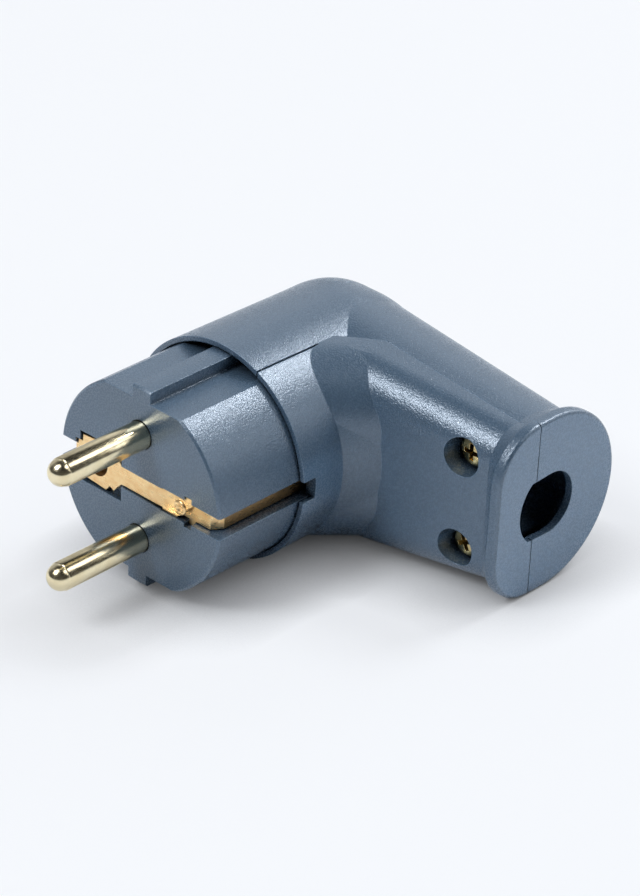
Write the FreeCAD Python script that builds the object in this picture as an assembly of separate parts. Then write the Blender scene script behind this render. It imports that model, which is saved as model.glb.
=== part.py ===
import FreeCAD, Part
import math
import os

# Angled two-pole mains plug with side earth contacts (type F), of the rewireable kind.
# Millimetres. The origin is the centre of the engagement face, on the plug axis.
# -Y is the way the pins point, +X runs along the arm to the cord flange, and +Z runs
# along the line of the two pins. The plug is the same above and below z = 0.

# Contact pins
PIN_DIAMETER = 4.8
PIN_LENGTH = 19.0
PIN_SPACING = 19.0
PIN_TIP_LENGTH = 2.2
PIN_TIP_EDGE = 0.12
PIN_NECK_DIAMETER = 4.2
PIN_NECK_LENGTH = 1.1
PIN_SHANK_DIAMETER = 5.8
PIN_FLANGE_DIAMETER = 8.8
PIN_FLANGE_THICKNESS = 2.2
TERMINAL_DIAMETER = 7.4
TERMINAL_LENGTH = 9.2
WIRE_HOLE_DIAMETER = 3.2
WIRE_HOLE_FROM_END = 4.5

# Contact carrier
CARRIER_RADIUS = 17.88
CARRIER_EXPOSED = 17.7
CARRIER_SEAT = 2.6
CARRIER_EDGE = 0.35
NECK_STEP = 2.28
NECK_LENGTH = 2.4
REAR_FLANGE_STEP = 0.8
REAR_FLANGE_LENGTH = 2.3
FLAT_DEPTH = 2.21
FLAT_RIB_WIDTH = 4.0
SLOT_WIDTH = 3.8

# Earth contact
STRIP_THICKNESS = 0.8
STRIP_WIDTH = 3.3
STRIP_SINK = 0.35
STRIP_RECESS = 1.98
STRIP_BEND_RUN = 1.2
STRIP_BEND_DEPTH = 1.85
PLATE_OUTER_RUN = 3.2
PLATE_INNER_RUN = 5.7
PLATE_WIDTH = 7.4
PLATE_STEP_RUN = 1.0
PLATE_STEP_WIDTH = 5.0
PLATE_POCKET_MARGIN = 0.3
TEETH = 2
TOOTH_PITCH = 1.75
TOOTH_STEP = 0.6
TOOTH_RISE = 0.5
LAP_LEFT = 4.9
LAP_RIGHT = 11.5
LAP_WIDTH = 4.0
LAP_END_HEIGHT = 1.4
BARB_LENGTH = 1.4
BARB_HEIGHT = 0.7
EARTH_HOLE_INSET = 5.9
EARTH_HOLE_DIAMETER = 4.9
SLEEVE_WALL = 0.6
SLEEVE_LENGTH = 14.0
RIVET_X = 8.8
RIVET_DIAMETER = 1.8
RIVET_HEAD_DIAMETER = 2.6
RIVET_TOP_DIAMETER = 1.9
RIVET_HEAD_HEIGHT = 0.3
RIVET_TAIL = 0.5
HOOK_LENGTH = 3.9
EARTH_BLOCK_DEPTH = 6.5
EARTH_BLOCK_LENGTH = 8.5
EARTH_BLOCK_WIDTH = 6.8
EARTH_TAIL_SHORT = 0.5

# Housing
COLLAR_LIP = 0.85
HEAD_DRAFT = 0.4
WALL = 2.0
ARM_RISE = 25.9
CORNER_SHIFT = 3.0
ARM_ROOT_DROP = 0.1
ARM_END_RADIUS = 14.5
PARTING_X = 7.6
PARTING_DROP = 2.8
PARTING_DIAGONAL_RUN = 6.6
PARTING_DIAGONAL_DROP = 5.5
PARTING_RELIEF = 0.3
PARTING_RELIEF_GAP = 3.6
ARM_FRONT_DROP = 11.7
ARM_FRONT_X = 22.3
ARM_FRONT_SLOPE = 0.114
ARM_CORNER_RADIUS = 6.0
ARM_START_X = 12.6
ARM_STATIONS = 4
WEB_RUN = 5.2
WEB_SLOPE = 0.683
WEB_HALF_HEIGHT = 10.5
SADDLE_ANGLE_DEG = 43.0
SADDLE_BACK = 1.23
SADDLE_LEAD = 5.9
SADDLE_DROP = 1.65
SADDLE_RADIUS = 11.0

# Cord flange
FLANGE_FACE_X = 47.0
FLANGE_THICKNESS = 2.4
FLANGE_LIP = 1.2
FLANGE_FRONT_DROP = 12.55
FLANGE_SIDE = 3.55
FLANGE_EDGE = 0.7
FLARE = 0.5
FLARE_RUN = 2.2
SEAM_GAP = 0.18
SEAM_DEPTH = 0.8
CORD_SHIFT = 0.7
CORD_LIP = 1.35
CORD_POCKET_MARGIN = 0.6
CORD_HOLE_RADIUS = 5.55
CORD_HOLE_CORNER_DROP = 4.6
CORD_HOLE_CORNER_INSET = 0.25
CORD_HOLE_FRONT_DROP = 7.0

# Housing screws and their inserts
SCREW_FROM_FLANGE = 9.8
SCREW_INSET = 6.2
SCREW_WELL_DIAMETER = 6.6
SCREW_HEAD_DIAMETER = 5.5
SCREW_TOP_DIAMETER = 3.9
SCREW_HEAD_HEIGHT = 2.2
SCREW_RECESS_SPAN = 3.3
SCREW_RECESS_DEPTH = 1.5
SCREW_DIAMETER = 3.1
SCREW_SEAT_ABOVE_PARTING = 2.6
SCREW_LENGTH = 9.3
WELL_WALL = 0.9
INSERT_DIAMETER = 5.0
INSERT_LENGTH = 7.0
INSERT_WALL = 1.2

# Cord clamp
CLAMP_FROM_SCREWS = 8.2
CLAMP_WIDTH = 6.0
CLAMP_POST_GAP = 0.8
CLAMP_END = 3.1
CLAMP_THICKNESS = 2.8
CLAMP_CORNER_RADIUS = 1.5
CORD_DIAMETER = 8.2
CORD_CLEARANCE = 0.5
POST_DIAMETER = 5.4
ANVIL_THICKNESS = 1.0
ANVIL_SPACING = 2.4
ANVIL_WIDTH = 11.0

# Small screws
TERMINAL_SCREW_DIAMETER = 3.0
TERMINAL_SCREW_HEAD = 5.4
TERMINAL_SCREW_HEAD_HEIGHT = 2.0
TERMINAL_SCREW_LENGTH = 2.8
CLAMP_SCREW_DIAMETER = 2.9
CLAMP_SCREW_HEAD = 4.6
CLAMP_SCREW_HEAD_HEIGHT = 1.4
CLAMP_SCREW_LENGTH = 9.0
RETAINER_THICKNESS = 2.0
RETAINER_WIDTH = 11.0
RETAINER_SPAN = 28.0
RETAINER_CORNER_RADIUS = 3.2
RETAINER_SCREW_LENGTH = 10.0
SCREW_SLOT_WIDTH = 0.8
SCREW_SLOT_DEPTH = 0.9

# Clearances
FIT = 0.05
LOOSE = 0.1
COLLAR_CLEARANCE = 0.27
PASSAGE_CLEARANCE = 0.95

# Sizes across the plug axis that follow from the core
HEAD_RADIUS = CARRIER_RADIUS + COLLAR_CLEARANCE + COLLAR_LIP
CROWN_RADIUS = HEAD_RADIUS - HEAD_DRAFT
NECK_RADIUS = CARRIER_RADIUS - NECK_STEP
REAR_FLANGE_RADIUS = NECK_RADIUS + REAR_FLANGE_STEP
FLAT_HEIGHT = CARRIER_RADIUS - FLAT_DEPTH
STRIP_REACH = CARRIER_RADIUS - STRIP_RECESS
EARTH_HOLE_X = EARTH_HOLE_INSET - STRIP_REACH
PLATE_LEFT = EARTH_HOLE_X - PLATE_OUTER_RUN
PLATE_RIGHT = EARTH_HOLE_X + PLATE_INNER_RUN
PIN_HOLE_DIAMETER = PIN_DIAMETER + 2 * LOOSE

# Levels along the plug axis, from the face backwards
COLLAR_FRONT = CARRIER_EXPOSED
BODY_END = COLLAR_FRONT + CARRIER_SEAT
NECK_END = BODY_END + NECK_LENGTH
CARRIER_END = NECK_END + REAR_FLANGE_LENGTH
RIB_START = BODY_END + LOOSE
RIB_END = NECK_END - LOOSE
PIN_FLANGE_START = CARRIER_END - PIN_FLANGE_THICKNESS
TERMINAL_END = CARRIER_END + TERMINAL_LENGTH
STRIP_TOP = STRIP_SINK
LOWER_STRIP_TOP = STRIP_TOP + STRIP_THICKNESS
ARM_AXIS_Y = COLLAR_FRONT + ARM_RISE
PARTING_Y = ARM_AXIS_Y - PARTING_DROP
PARTING_TURN_Y = PARTING_Y - PARTING_DIAGONAL_DROP
PARTING_RELIEF_END = PARTING_TURN_Y - PARTING_RELIEF_GAP
ARM_FRONT_Y = ARM_AXIS_Y - ARM_FRONT_DROP
WEB_START_Y = ARM_FRONT_Y - WEB_RUN
CORD_AXIS_Y = ARM_AXIS_Y + CORD_SHIFT
FLANGE_FRONT_Y = CORD_AXIS_Y - FLANGE_FRONT_DROP
CORD_HOLE_CORNER_Y = CORD_AXIS_Y - CORD_HOLE_CORNER_DROP
CORD_HOLE_FRONT_Y = CORD_AXIS_Y - CORD_HOLE_FRONT_DROP

# Places along the arm and across it, from the cord flange backwards
FLANGE_BACK_X = FLANGE_FACE_X - FLANGE_THICKNESS
ARM_END_X = FLANGE_BACK_X - FLARE_RUN
FLANGE_RADIUS = ARM_END_RADIUS + FLANGE_LIP
FLANGE_CORNER_RADIUS = FLANGE_FRONT_DROP - FLANGE_SIDE
CORD_HOLE_CORNER_Z = CORD_HOLE_RADIUS - CORD_HOLE_CORNER_INSET
SCREW_X = FLANGE_FACE_X - SCREW_FROM_FLANGE
SCREW_Z = ARM_END_RADIUS - SCREW_INSET
CLAMP_X = SCREW_X - CLAMP_FROM_SCREWS
CLAMP_SCREW_Z = (CORD_DIAMETER + POST_DIAMETER) / 2 + CLAMP_POST_GAP
CLAMP_SPAN = 2 * (CLAMP_SCREW_Z + CLAMP_END)
FAR = 120.0

V = FreeCAD.Vector
ALONG_X = V(1, 0, 0)
ALONG_Y = V(0, 1, 0)
ALONG_Z = V(0, 0, 1)


def box(x0, x1, y0, y1, z0, z1):
    """Block between two corners."""
    return Part.makeBox(x1 - x0, y1 - y0, z1 - z0, V(x0, y0, z0))


def rod(radius, y0, y1, x=0.0, z=0.0):
    """Cylinder along Y."""
    return Part.makeCylinder(radius, y1 - y0, V(x, y0, z), ALONG_Y)


def tapered_rod(radius0, radius1, y0, y1, x=0.0, z=0.0):
    """Cone along Y."""
    return Part.makeCone(radius0, radius1, y1 - y0, V(x, y0, z), ALONG_Y)


def plan_prism(points, z0, z1):
    """Plan outline of straight sides, raised along Z."""
    corners = [V(x, y, z0) for x, y in points]
    outline = Part.makePolygon(corners + corners[:1])
    return Part.Face(outline).extrude(V(0, 0, z1 - z0))


def join(shapes):
    """One shape from several, with coplanar faces merged."""
    return shapes[0].multiFuse(shapes[1:]).removeSplitter()


def mirrored(shape):
    """The same shape below the middle plane."""
    return shape.mirror(V(0, 0, 0), ALONG_Z)


def arc(a, b, c):
    """Edge through three points."""
    return Part.Arc(a, b, c).toShape()


def line(a, b):
    """Straight edge."""
    return Part.LineSegment(a, b).toShape()


def offset_path(path, distance):
    """Plan polyline moved sideways to its right by a distance, with mitred corners."""
    moved = []
    for i, point in enumerate(path):
        before = path[max(i - 1, 0)]
        after = path[min(i + 1, len(path) - 1)]
        turns = []
        for a, b in ((before, point), (point, after)):
            length = math.hypot(b[0] - a[0], b[1] - a[1])
            if length > 0:
                turns.append(((b[1] - a[1]) / length, -(b[0] - a[0]) / length))
        nx = sum(t[0] for t in turns) / len(turns)
        ny = sum(t[1] for t in turns) / len(turns)
        scale = distance / (nx * nx + ny * ny)
        moved.append((point[0] + nx * scale, point[1] + ny * scale))
    return moved


def single(shape):
    """The one solid of a boolean result."""
    if len(shape.Solids) != 1:
        raise ValueError("expected one solid, found %d" % len(shape.Solids))
    return shape.Solids[0]


def export(name, shape):
    """Write one piece."""
    single(shape).exportStep("parts/%s.step" % name)


# Form of the head and the arm

def head_radius(y):
    """Outer radius of the head, which is drafted from the collar to the crown."""
    return HEAD_RADIUS - HEAD_DRAFT * (y - COLLAR_FRONT) / ARM_RISE


def drafted_head(inset, end):
    """Round head from the collar back to a level."""
    return tapered_rod(HEAD_RADIUS - inset, head_radius(end) - inset, COLLAR_FRONT, end)


def arm_radius(x):
    """Outer radius of the round arm at a station along it."""
    root = CROWN_RADIUS - ARM_ROOT_DROP
    return root + (ARM_END_RADIUS - root) * x / ARM_END_X


def arm_half_height(x):
    """Height of the parting edge of the arm above the middle plane."""
    return math.sqrt(arm_radius(x) ** 2 - (ARM_AXIS_Y - PARTING_Y) ** 2)


def arm_front(x):
    """Place of the flat front of the arm."""
    return ARM_FRONT_Y + ARM_FRONT_SLOPE * (x - ARM_FRONT_X)


def elbow_corner(inset):
    """Outer corner of the elbow: part of the crown's disc swung through a right angle."""
    radius = CROWN_RADIUS - inset
    x = -CORNER_SHIFT
    y = ARM_AXIS_Y + CORNER_SHIFT
    z = math.sqrt(radius ** 2 - CORNER_SHIFT ** 2)
    rim = arc(V(x, y, -z), V(-radius, y, 0), V(x, y, z))
    side = Part.Face(Part.Wire([rim, line(V(x, y, z), V(x, y, -z))]))
    return side.revolve(V(x, y, 0), ALONG_Z, -90)


def elbow_crown(inset):
    """Dome over the end of the head, mitred with the swung corner on the diagonal."""
    radius = CROWN_RADIUS - inset
    shift = CORNER_SHIFT
    low = ARM_AXIS_Y
    high = ARM_AXIS_Y + shift
    left = plan_prism([(-FAR, low), (0, low), (-shift, high), (-FAR, high)], -FAR, FAR)
    right = plan_prism([(0, low), (0, FAR), (-shift, FAR), (-shift, high)], -FAR, FAR)
    upright = rod(radius, low, high).common(left)
    lying = Part.makeCylinder(radius, shift, V(-shift, low, 0), ALONG_X).common(right)
    dome = Part.makeSphere(radius, V(0, low, 0)).common(box(0, FAR, low, FAR, -FAR, FAR))
    return [upright, lying, dome]


def round_arm(inset):
    """Round arm that tapers to the cord flange and flares there."""
    root = arm_radius(0) - inset
    end = ARM_END_RADIUS - inset
    profile = [(0, 0), (0, root), (ARM_END_X, end), (FLANGE_BACK_X, end + FLARE), (FLANGE_BACK_X, 0)]
    corners = [V(x, ARM_AXIS_Y - radius, 0) for x, radius in profile]
    outline = Part.makePolygon(corners + corners[:1])
    return Part.Face(outline).revolve(V(0, ARM_AXIS_Y, 0), ALONG_X, 360)


def outer_form(inset):
    """Back of the elbow: drafted head, domed crown with a swung corner, and round arm."""
    head = drafted_head(inset, ARM_AXIS_Y)
    return join([head, elbow_corner(inset), round_arm(inset)] + elbow_crown(inset))


def arm_section(x, inset, flare=0.0):
    """Section of the front half of the arm: flat front with rounded corners."""
    half = arm_half_height(min(x, ARM_END_X)) + flare - inset
    front = arm_front(x) - flare + inset
    corner = ARM_CORNER_RADIUS - inset
    turn = corner * math.sqrt(0.5)
    back = ARM_AXIS_Y
    inner = front + corner
    level = half - corner
    edges = [
        line(V(x, back, -half), V(x, inner, -half)),
        arc(V(x, inner, -half), V(x, inner - turn, -level - turn), V(x, front, -level)),
        line(V(x, front, -level), V(x, front, level)),
        arc(V(x, front, level), V(x, inner - turn, level + turn), V(x, inner, half)),
        line(V(x, inner, half), V(x, back, half)),
        line(V(x, back, half), V(x, back, -half)),
    ]
    return Part.Wire(edges)


def flat_arm(inset):
    """Front half of the arm, lofted along its taper and flared at the cord flange."""
    step = (ARM_END_X - ARM_START_X) / (ARM_STATIONS - 1)
    sections = [arm_section(ARM_START_X + i * step, inset) for i in range(ARM_STATIONS)]
    body = Part.makeLoft(sections, True, False)
    ends = [arm_section(ARM_END_X, inset), arm_section(FLANGE_BACK_X, inset, FLARE)]
    return join([body, Part.makeLoft(ends, True, True)])


def saddle(inset):
    """Rounded inner corner of the elbow, running across it on the diagonal."""
    angle = math.radians(SADDLE_ANGLE_DEG)
    run = V(math.sin(angle), math.cos(angle), 0)
    out = V(math.cos(angle), -math.sin(angle), 0)
    base = head_radius(WEB_START_Y)
    corner = V(base, WEB_START_Y, 0)
    face = out.dot(corner) - SADDLE_BACK - inset
    top = base - SADDLE_DROP - inset
    radius = SADDLE_RADIUS - inset
    level = top - radius
    turn = radius * math.sqrt(0.5)
    first = run.dot(corner) - SADDLE_LEAD
    last = first + base
    root = face - base + WALL

    def at(u, z):
        return out * u + run * first + ALONG_Z * z

    inner = face - radius
    edges = [
        line(at(root, -top), at(inner, -top)),
        arc(at(inner, -top), at(inner + turn, -level - turn), at(face, -level)),
        line(at(face, -level), at(face, level)),
        arc(at(face, level), at(inner + turn, level + turn), at(inner, top)),
        line(at(inner, top), at(root, top)),
        line(at(root, top), at(root, -top)),
    ]
    bar = Part.Face(Part.Wire(edges)).extrude(run * (last - first))
    return bar.common(crown_limit(inset + FIT))


def crown_limit(inset):
    """Everything below the crown line of the arm, as seen from the front."""
    start = PARTING_X
    middle = (start + ARM_END_X) / 2
    low, mid, high = (arm_half_height(x) - inset for x in (start, middle, ARM_END_X))
    edges = [
        arc(V(start, 0, low), V(middle, 0, mid), V(ARM_END_X, 0, high)),
        line(V(ARM_END_X, 0, high), V(ARM_END_X, 0, -high)),
        arc(V(ARM_END_X, 0, -high), V(middle, 0, -mid), V(start, 0, -low)),
        line(V(start, 0, -low), V(start, 0, low)),
    ]
    return Part.Face(Part.Wire(edges)).extrude(V(0, FAR, 0))


def web(inset):
    """Conical web between the collar and the flat front of the arm."""
    base = head_radius(WEB_START_Y) - inset
    rise = ARM_FRONT_Y - WEB_START_Y + WALL
    start = WEB_START_Y + inset * WEB_SLOPE / 2
    cone = tapered_rod(base, base + rise * WEB_SLOPE, start, start + rise)
    half = WEB_HALF_HEIGHT - inset / 2
    return cone.common(box(0, FAR, 0, FAR, -half, half))


def inner_form(inset):
    """Front of the elbow: collar, conical web, saddle and flat arm."""
    collar = drafted_head(inset, PARTING_TURN_Y)
    return join([collar, web(inset), saddle(inset), flat_arm(inset)])


def parting_line():
    """Plan line where the two halves meet, from the collar to the cord flange."""
    turn_x = PARTING_X + PARTING_DIAGONAL_RUN
    return [(PARTING_X, PARTING_TURN_Y), (turn_x, PARTING_Y), (FAR, PARTING_Y)]


def inner_side():
    """Space in front of the parting line, relieved along the collar."""
    x = PARTING_X + PARTING_RELIEF
    relief = [(x, 0), (x, PARTING_RELIEF_END), (PARTING_X, PARTING_RELIEF_END)]
    return plan_prism(relief + parting_line() + [(FAR, 0)], -FAR, FAR)


def outer_side():
    """Space behind the parting line."""
    corners = [(PARTING_X, 0)] + parting_line() + [(FAR, FAR), (-FAR, FAR), (-FAR, 0)]
    return plan_prism(corners, -FAR, FAR)


def flange_plate():
    """Plate around the cord entry: round behind, flat in front, with rounded rims."""
    x = FLANGE_BACK_X
    front = FLANGE_FRONT_Y
    radius = FLANGE_RADIUS
    flat = radius - FLANGE_CORNER_RADIUS
    inner = front + FLANGE_CORNER_RADIUS
    turn = FLANGE_CORNER_RADIUS * math.sqrt(0.5)
    centre = CORD_AXIS_Y
    edges = [
        arc(V(x, centre, -radius), V(x, centre + radius, 0), V(x, centre, radius)),
        line(V(x, centre, radius), V(x, inner, radius)),
        arc(V(x, inner, radius), V(x, inner - turn, flat + turn), V(x, front, flat)),
        line(V(x, front, flat), V(x, front, -flat)),
        arc(V(x, front, -flat), V(x, inner - turn, -flat - turn), V(x, inner, -radius)),
        line(V(x, inner, -radius), V(x, centre, -radius)),
    ]
    plate = Part.Face(Part.Wire(edges)).extrude(V(FLANGE_THICKNESS, 0, 0))
    rims = [e for e in plate.Edges if abs(e.BoundBox.XMin - e.BoundBox.XMax) < FIT]
    return plate.makeFillet(FLANGE_EDGE, rims)


def cord_hole():
    """Cord entry through the flange: round behind, a flatter arch in front, wider inside."""
    x = FLANGE_BACK_X - WALL
    radius = CORD_HOLE_RADIUS
    corner_y = CORD_HOLE_CORNER_Y
    corner_z = CORD_HOLE_CORNER_Z
    centre = CORD_AXIS_Y
    edges = [
        arc(V(x, centre, -radius), V(x, centre + radius, 0), V(x, centre, radius)),
        line(V(x, centre, radius), V(x, corner_y, corner_z)),
        arc(V(x, corner_y, corner_z), V(x, CORD_HOLE_FRONT_Y, 0), V(x, corner_y, -corner_z)),
        line(V(x, corner_y, -corner_z), V(x, centre, -radius)),
    ]
    hole = Part.Face(Part.Wire(edges)).extrude(V(FLANGE_THICKNESS + 2 * WALL, 0, 0))
    depth = FLANGE_FACE_X - CORD_LIP - x
    pocket_radius = CORD_HOLE_FRONT_DROP + CORD_POCKET_MARGIN
    pocket = Part.makeCylinder(pocket_radius, depth, V(x, centre, 0), ALONG_X)
    return join([hole, pocket])


def carrier_seat():
    """Room that the collar leaves for the carrier: bore, neck and earth passages."""
    bore = rod(CARRIER_RADIUS + COLLAR_CLEARANCE, COLLAR_FRONT - WALL, RIB_START)
    neck = rod(NECK_RADIUS + LOOSE, COLLAR_FRONT, RIB_END + WALL)
    half = SLOT_WIDTH / 2
    window = box(-FAR, FAR, COLLAR_FRONT - WALL, RIB_START, -half, half)
    reach = STRIP_REACH + PASSAGE_CLEARANCE
    passage = box(-reach, reach, COLLAR_FRONT, RIB_END + WALL, -half, half)
    return join([bore, neck, window, passage])


def hollow(form):
    """Room behind the retaining rib of a form, up to the cord flange."""
    return form.common(box(-FAR, FLANGE_BACK_X, RIB_END, FAR, -FAR, FAR))


# Housing halves

def inner_half_shell():
    """Front half, with the two screw wells."""
    side = inner_side()
    skin = inner_form(0).cut(hollow(inner_form(WALL)))
    wells = []
    holes = []
    seat = PARTING_Y - SCREW_SEAT_ABOVE_PARTING
    front = arm_front(SCREW_X)
    inside = flat_arm(WALL / 2)
    for z in (SCREW_Z, -SCREW_Z):
        pillar = rod(SCREW_WELL_DIAMETER / 2 + WELL_WALL, front, PARTING_Y, SCREW_X, z)
        wells.append(pillar.common(inside))
        holes.append(rod(SCREW_WELL_DIAMETER / 2, front - WALL, seat, SCREW_X, z))
        holes.append(rod(SCREW_DIAMETER / 2 + LOOSE, seat, PARTING_Y, SCREW_X, z))
    clamp_crown = CORD_AXIS_Y - CORD_DIAMETER / 2 - CLAMP_THICKNESS - CLAMP_SCREW_HEAD_HEIGHT
    for z in (CLAMP_SCREW_Z, -CLAMP_SCREW_Z):
        holes.append(rod(CLAMP_SCREW_HEAD / 2 + LOOSE, clamp_crown - LOOSE, PARTING_Y, CLAMP_X, z))
    whole = join([skin, flange_plate()] + wells).common(side)
    seam = box(FLANGE_FACE_X - SEAM_DEPTH, FAR, PARTING_Y - SEAM_GAP, PARTING_Y, -FAR, FAR)
    return whole.cut([carrier_seat(), cord_hole(), seam] + holes)


def outer_half_shell():
    """Back half, with the insert pillars, the clamp posts and the anvil ribs."""
    side = outer_side()
    skin = outer_form(0).cut(hollow(outer_form(WALL)))
    inside = outer_form(WALL / 2)
    added = []
    holes = []
    clamp_seat = CORD_AXIS_Y - CORD_DIAMETER / 2
    anvil = CORD_AXIS_Y + CORD_DIAMETER / 2
    for z in (SCREW_Z, -SCREW_Z):
        pillar = rod(INSERT_DIAMETER / 2 + INSERT_WALL, PARTING_Y, FAR, SCREW_X, z)
        added.append(pillar.common(inside))
        holes.append(rod(INSERT_DIAMETER / 2 + FIT, PARTING_Y, PARTING_Y + INSERT_LENGTH, SCREW_X, z))
        tip = PARTING_Y + SCREW_LENGTH
        holes.append(rod(SCREW_DIAMETER / 2 + LOOSE, PARTING_Y, tip, SCREW_X, z))
    for z in (CLAMP_SCREW_Z, -CLAMP_SCREW_Z):
        post = rod(POST_DIAMETER / 2, PARTING_Y, FAR, CLAMP_X, z)
        added.append(post.common(inside))
        clamp_tip = clamp_seat + CLAMP_SCREW_LENGTH
        holes.append(rod(CLAMP_SCREW_DIAMETER / 2 + FIT, clamp_seat, clamp_tip, CLAMP_X, z))
    for x in (CLAMP_X - ANVIL_SPACING, CLAMP_X + ANVIL_SPACING - ANVIL_THICKNESS):
        rib = box(x, x + ANVIL_THICKNESS, anvil, FAR, -ANVIL_WIDTH / 2, ANVIL_WIDTH / 2)
        added.append(rib.common(inside))
    whole = join([skin, flange_plate()] + added).common(side)
    return whole.cut([carrier_seat(), cord_hole()] + holes)


# Earth contact

def strip_path(top, end):
    """Outer line of the right-hand strip, from the middle of the face to its end behind."""
    bend = STRIP_REACH - STRIP_BEND_RUN
    return [(0, top), (bend, top), (STRIP_REACH, top + STRIP_BEND_DEPTH), (STRIP_REACH, end)]


def strip_body(path, width):
    """Strip of sheet metal along a path, with the path on its outer face."""
    inner = offset_path(path, -STRIP_THICKNESS)
    return plan_prism(path + inner[::-1], -width / 2, width / 2)


def strip_groove(top, width):
    """Groove in the carrier for a strip, open to the face and to the side."""
    path = strip_path(top, CARRIER_END + WALL)
    floor = offset_path(path, -STRIP_THICKNESS - LOOSE)
    edge = CARRIER_RADIUS + WALL
    outer = [(edge, CARRIER_END + WALL), (edge, -WALL), (0, -WALL)]
    return plan_prism(floor + outer, -width / 2, width / 2)


def turned(shape):
    """The same shape on the other side of the plug axis."""
    return shape.mirror(V(0, 0, 0), ALONG_X)


def face_plate(points, top):
    """Flat plate in the plane of the face, one sheet thick."""
    corners = [V(x, top, z) for x, z in points]
    outline = Part.makePolygon(corners + corners[:1])
    return Part.Face(outline).extrude(V(0, STRIP_THICKNESS, 0))


def socket_plate():
    """Wide plate round the earth hole, stepped at its far end, with saw teeth towards the strip."""
    half = PLATE_WIDTH / 2
    step = PLATE_STEP_WIDTH / 2
    far_end = PLATE_LEFT - PLATE_STEP_RUN
    upper = [(far_end, STRIP_WIDTH / 2), (far_end, step), (PLATE_LEFT, step), (PLATE_LEFT, half)]
    for i in range(TEETH):
        tip = PLATE_RIGHT - (TEETH - i) * TOOTH_PITCH
        level = half - i * TOOTH_STEP
        upper.append((tip, level + TOOTH_RISE))
        upper.append((tip + TOOTH_PITCH / 2, level - TOOTH_STEP))
    upper.append((PLATE_RIGHT, STRIP_WIDTH / 2))
    lower = [(x, -z) for x, z in reversed(upper)]
    return face_plate(upper + lower, STRIP_TOP)


def lap_plate():
    """End of the upper strip, cut off on the slant, with one gripping barb."""
    half = LAP_WIDTH / 2
    slant = LAP_RIGHT - half - LAP_END_HEIGHT
    barb = LAP_RIGHT - BARB_LENGTH
    points = [(LAP_LEFT, -half), (slant, -half), (LAP_RIGHT, LAP_END_HEIGHT)]
    points += [(LAP_RIGHT, half + BARB_HEIGHT), (barb, half + BARB_HEIGHT)]
    points += [(barb, half), (LAP_LEFT, half)]
    return face_plate(points, STRIP_TOP)


def earth_strip_left():
    """Strip with the socket plate on one side of the pins and the lap plate on the other."""
    end = CARRIER_END + LOOSE + STRIP_THICKNESS
    path = strip_path(STRIP_TOP, end) + [(STRIP_REACH - HOOK_LENGTH, end)]
    side = turned(strip_body(path, STRIP_WIDTH))
    top = STRIP_TOP
    low = LOWER_STRIP_TOP
    bridge = box(0, LAP_LEFT, top, low, -STRIP_WIDTH / 2, STRIP_WIDTH / 2)
    whole = join([side, socket_plate(), bridge, lap_plate()])
    hole = rod(EARTH_HOLE_DIAMETER / 2, top, low, EARTH_HOLE_X)
    return whole.cut(join([hole, rod(RIVET_DIAMETER / 2 + FIT, top, low, RIVET_X)]))


def earth_strip_right():
    """Strip that lies under the lap plate and carries the earth terminal behind."""
    end = CARRIER_END + EARTH_BLOCK_LENGTH - EARTH_TAIL_SHORT
    deep = LOWER_STRIP_TOP + STRIP_THICKNESS
    tip = LAP_WIDTH / 2 + BARB_HEIGHT
    barb = box(LAP_RIGHT - BARB_LENGTH, LAP_RIGHT, LOWER_STRIP_TOP, deep, -tip, 0)
    whole = join([strip_body(strip_path(LOWER_STRIP_TOP, end), STRIP_WIDTH), barb])
    start = box(-FAR, LAP_LEFT, -FAR, FAR, -FAR, FAR)
    hole = rod(RIVET_DIAMETER / 2 + FIT, LOWER_STRIP_TOP, deep, RIVET_X)
    return whole.cut(start).cut(hole)


def earth_rivet():
    """Rivet that joins the two strips."""
    top = STRIP_TOP
    bottom = top + 2 * STRIP_THICKNESS
    shank = rod(RIVET_DIAMETER / 2, top, bottom, RIVET_X)
    crown = top - RIVET_HEAD_HEIGHT
    head = tapered_rod(RIVET_TOP_DIAMETER / 2, RIVET_HEAD_DIAMETER / 2, crown, top, RIVET_X)
    tail = rod(RIVET_HEAD_DIAMETER / 2, bottom, bottom + RIVET_TAIL, RIVET_X)
    return join([head, shank, tail])


def earth_socket_sleeve():
    """Sleeve behind the socket plate that grips a socket's earth pin."""
    top = LOWER_STRIP_TOP
    inner = EARTH_HOLE_DIAMETER / 2
    outer = rod(inner + SLEEVE_WALL, top, top + SLEEVE_LENGTH, EARTH_HOLE_X)
    return outer.cut(rod(inner, top, top + SLEEVE_LENGTH, EARTH_HOLE_X))


def earth_block_centre():
    """Middle of the earth terminal across the strip."""
    return STRIP_REACH - STRIP_THICKNESS - EARTH_BLOCK_DEPTH / 2


def earth_terminal():
    """Clamping block on the inside of the right-hand strip."""
    right = STRIP_REACH - STRIP_THICKNESS
    half = EARTH_BLOCK_WIDTH / 2
    end = CARRIER_END + EARTH_BLOCK_LENGTH
    block = box(right - EARTH_BLOCK_DEPTH, right, CARRIER_END, end, -half, half)
    centre = earth_block_centre()
    middle = end - WIRE_HOLE_FROM_END
    wire = Part.makeCylinder(WIRE_HOLE_DIAMETER / 2, 2 * half, V(centre, middle, -half), ALONG_Z)
    thread = rod(TERMINAL_SCREW_DIAMETER / 2 + FIT, middle, end, centre)
    return block.cut(join([wire, thread]))


# Contact carrier and what it holds

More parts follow.
